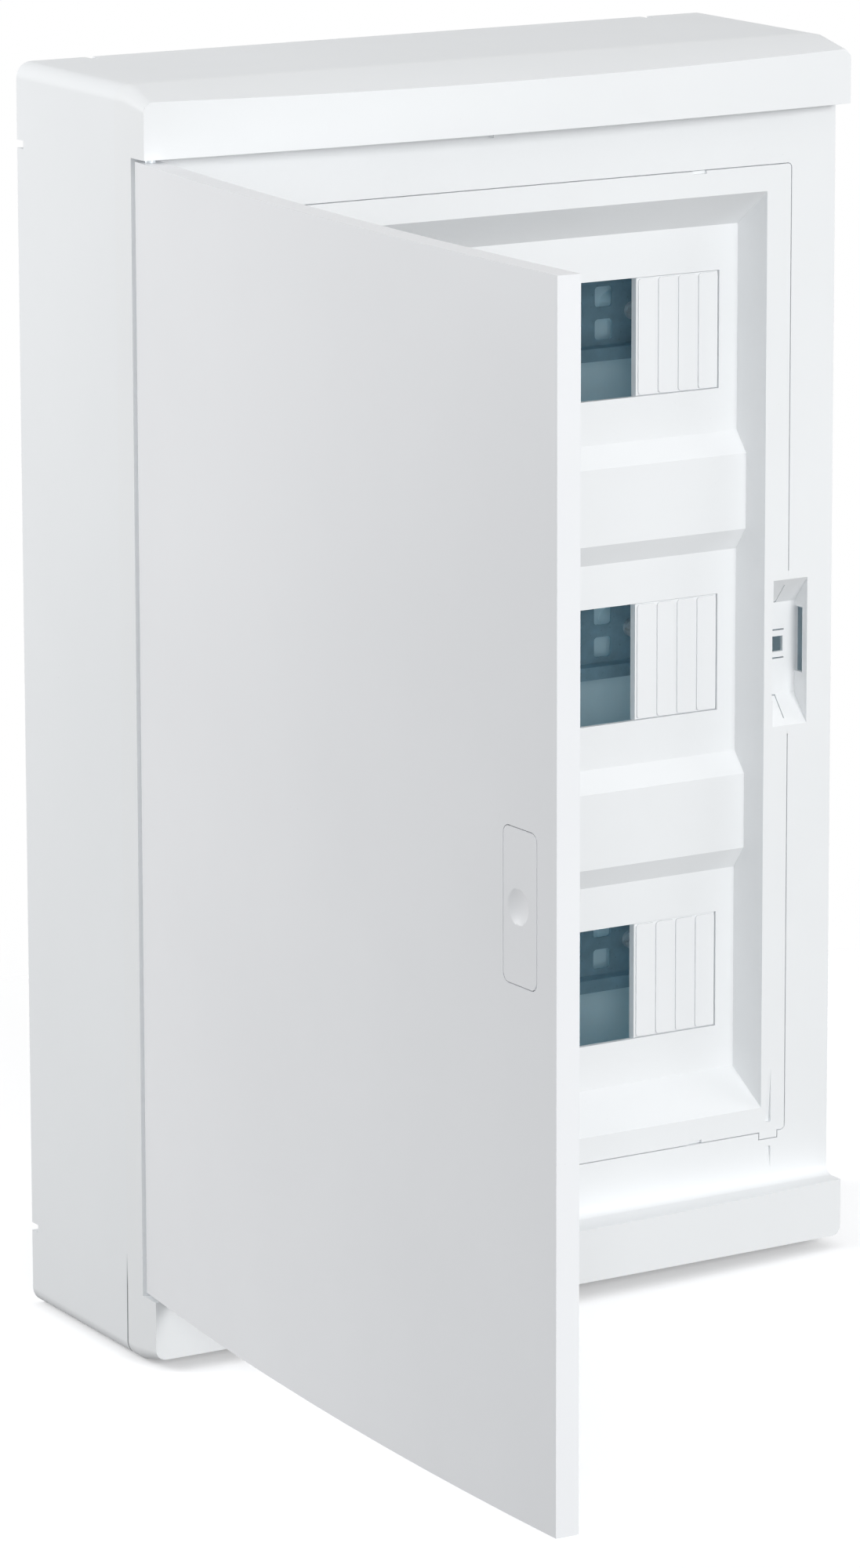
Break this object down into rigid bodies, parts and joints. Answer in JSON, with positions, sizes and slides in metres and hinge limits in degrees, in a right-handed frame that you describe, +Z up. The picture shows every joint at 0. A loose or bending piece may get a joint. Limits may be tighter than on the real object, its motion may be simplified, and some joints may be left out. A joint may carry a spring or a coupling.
{
  "type": "wall-mounted distribution cabinet",
  "caption": "White plastic wall-mounted switchboard cabinet with module windows in a recessed cover, top-hat rails inside and a bowed side-hinged door with a push latch, shown open.",
  "frame": {"origin": "centre of the back face, in the plane of the wall", "axes": "+X to the right of a viewer facing the cabinet, +Y into the wall, +Z up; the front faces -Y"},
  "size_m": [0.3136, 0.3908, 0.472],
  "materials": {
    "cover_white": "satin",
    "housing_white": "satin",
    "strip_white": "satin",
    "latch_white": "satin",
    "rail_steel": "satin",
    "screw_steel": "satin",
    "bar_brass": "satin",
    "holder_blue": "satin",
    "holder_green": "satin"
  },
  "bodies": {
    "cabinet": {"blanking_strip_bottom": "strip_white", "blanking_strip_middle": "strip_white", "blanking_strip_top": "strip_white", "cable_entry_plate_bottom": "housing_white", "cable_entry_plate_top": "housing_white", "din_rail_bottom": "rail_steel", "din_rail_middle": "rail_steel", "din_rail_top": "rail_steel", "earth_bar": "bar_brass", "earth_bar_holders": "holder_green", "earth_bar_screws": "screw_steel", "frame_screws": "screw_steel", "front_frame": "cover_white", "hinge_pin_lower": "screw_steel", "hinge_pin_upper": "screw_steel", "mask": "cover_white", "neutral_bar": "bar_brass", "neutral_bar_holders": "holder_blue", "neutral_bar_screws": "screw_steel", "rail_screws": "screw_steel", "rear_housing": "housing_white"},
    "door": {"door_panel": "cover_white", "latch_housing": "latch_white", "latch_springs": "screw_steel"},
    "button": {"latch_button": "cover_white"},
    "tongue": {"latch_tongue": "latch_white"}
  },
  "joints": [
    {"name": "door_hinge", "type": "hinge", "parent": "cabinet", "child": "door", "pos_m": [-0.1464, -0.09406, 0], "axis": [0, 0, 1], "range_deg": [-23, 92]},
    {"name": "latch_press", "type": "slide", "parent": "door", "child": "button", "axis": [0.9994, -0.0349, 0], "range_m": [0, 0.002], "stiffness_N_per_m": 900, "springref_m": -0.001, "deforming": ["latch_springs"]},
    {"name": "latch_bolt", "type": "slide", "parent": "door", "child": "tongue", "axis": [-0.0349, -0.9994, 0], "range_m": [0, 0.002]}
  ],
  "couplings": [
    {"joint": "latch_bolt", "follows": "latch_press", "ratio": 1}
  ]
}
